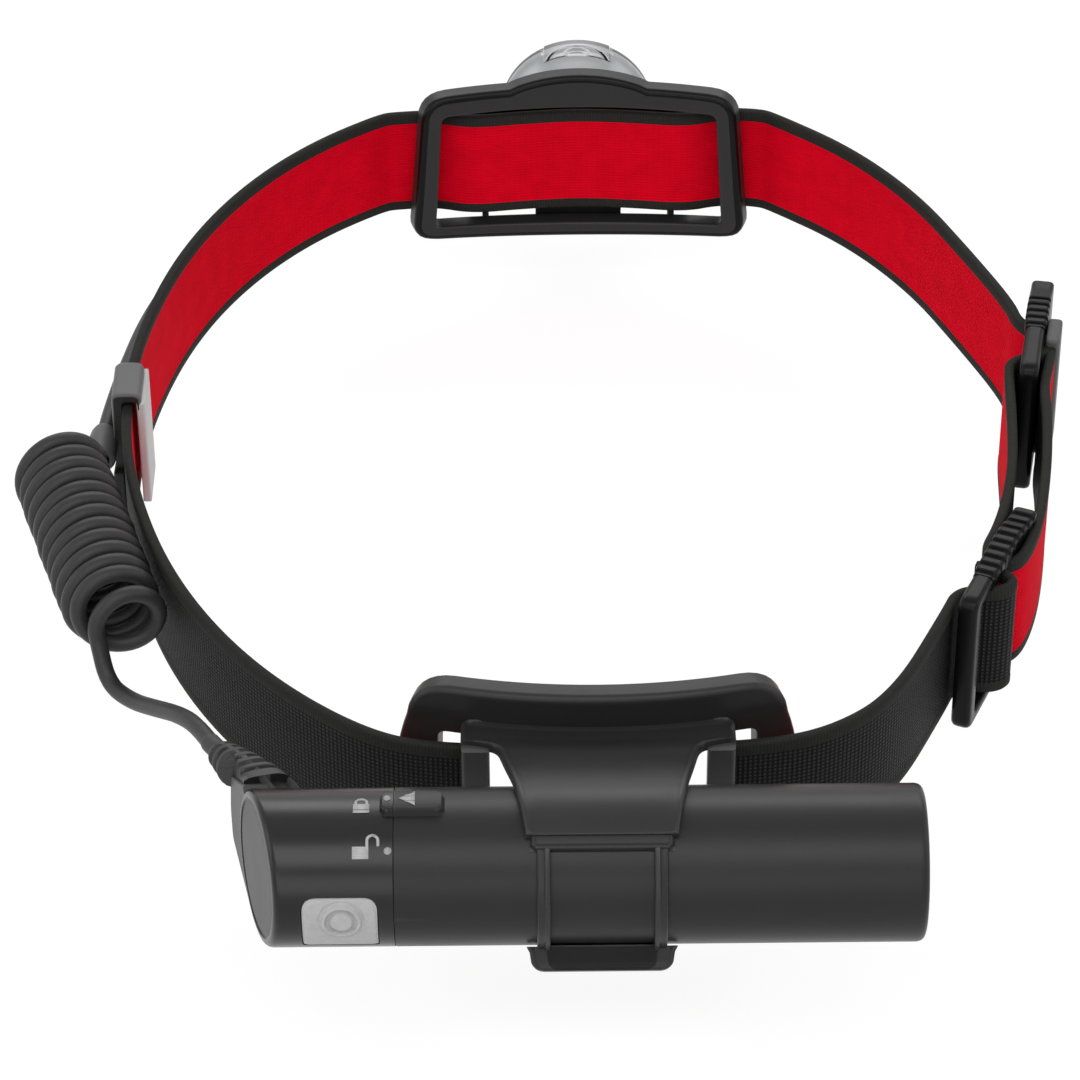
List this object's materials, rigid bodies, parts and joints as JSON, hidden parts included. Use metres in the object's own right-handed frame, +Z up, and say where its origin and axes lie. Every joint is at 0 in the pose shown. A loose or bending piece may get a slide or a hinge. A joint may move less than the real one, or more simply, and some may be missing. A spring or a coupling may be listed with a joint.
{
  "type": "headlamp",
  "caption": "Headlamp on an elastic head strap, with a tilting, focusing lamp in front, a cylindrical battery pack in a nape holder and a curly lead along the side.",
  "frame": {"origin": "middle of the head opening, on the plane that the two frames stand on", "axes": "+Y to the wearer's forehead and the lamp, +Z up, +X to the wearer's right"},
  "size_m": [0.1882, 0.2546, 0.0383],
  "materials": {
    "black_plastic": "matt, moulded",
    "pack_plastic": "matt, soft sheen",
    "cap_plastic": "satin",
    "button_silicone": "matt",
    "strap_weave": "woven elastic, red inside and black outside",
    "strap_black": "woven elastic, black",
    "grey_plastic": "matt",
    "light_plastic": "matt",
    "lead_rubber": "matt",
    "silver_shell": "satin",
    "dark_metal": "anodised",
    "steel": "brushed",
    "lens_glass": "clear",
    "board": "solder mask",
    "led_board_white": "white solder mask",
    "led_yellow": "phosphor under clear dome",
    "switch_metal": "tinned",
    "cell_wrap": "shrink wrap",
    "contact_brass": "plated",
    "seal_rubber": "greased"
  },
  "bodies": {
    "headband_set": {"headband": "strap_weave", "rear_strap": "strap_black", "strap_end_stop": "grey_plastic", "front_slider": "black_plastic", "rear_slider": "black_plastic", "cable_clip": "grey_plastic", "clip_plate": "light_plastic", "forehead_frame": "black_plastic", "nape_frame": "black_plastic", "lamp_base": "black_plastic", "hinge_pins": "steel", "lamp_gland": "lead_rubber", "pack_holder": "black_plastic", "holder_cradle": "black_plastic", "battery_cap": "cap_plastic", "tact_switch": "switch_metal", "control_board": "board", "tube_seal": "seal_rubber", "front_contact": "contact_brass", "strain_relief": "lead_rubber", "cord_lower": "lead_rubber", "cord_coil": "lead_rubber", "cord_upper": "lead_rubber"},
    "lamp_head": {"lamp_housing": "silver_shell", "heat_sink": "dark_metal", "led_board": "led_board_white", "led_emitter": "led_yellow", "bezel_ring": "dark_metal"},
    "focus_slider": {"lens_carrier": "dark_metal", "focus_lens": "lens_glass", "focus_tab": "silver_shell"},
    "power_button": {"switch_button": "button_silicone"},
    "tube_body": {"battery_tube": "pack_plastic", "battery_cell": "cell_wrap", "tail_contact": "contact_brass"}
  },
  "joints": [
    {"name": "lamp_tilt", "type": "hinge", "parent": "headband_set", "child": "lamp_head", "pos_m": [0, 0.111, 0.0158], "axis": [-1, 0, 0], "range_deg": [0, 50]},
    {"name": "focus_slide", "type": "slide", "parent": "lamp_head", "child": "focus_slider", "axis": [0, 1, 0], "range_m": [0, 0.004]},
    {"name": "button_press", "type": "slide", "parent": "headband_set", "child": "power_button", "axis": [0, 1, 0], "range_m": [0, 0.0008], "stiffness_N_per_m": 1500, "springref_m": -0.0003},
    {"name": "tube_twist", "type": "hinge", "parent": "headband_set", "child": "tube_body", "pos_m": [0, -0.12262, 0.024], "axis": [1, 0, 0], "range_deg": [0, 45]}
  ]
}
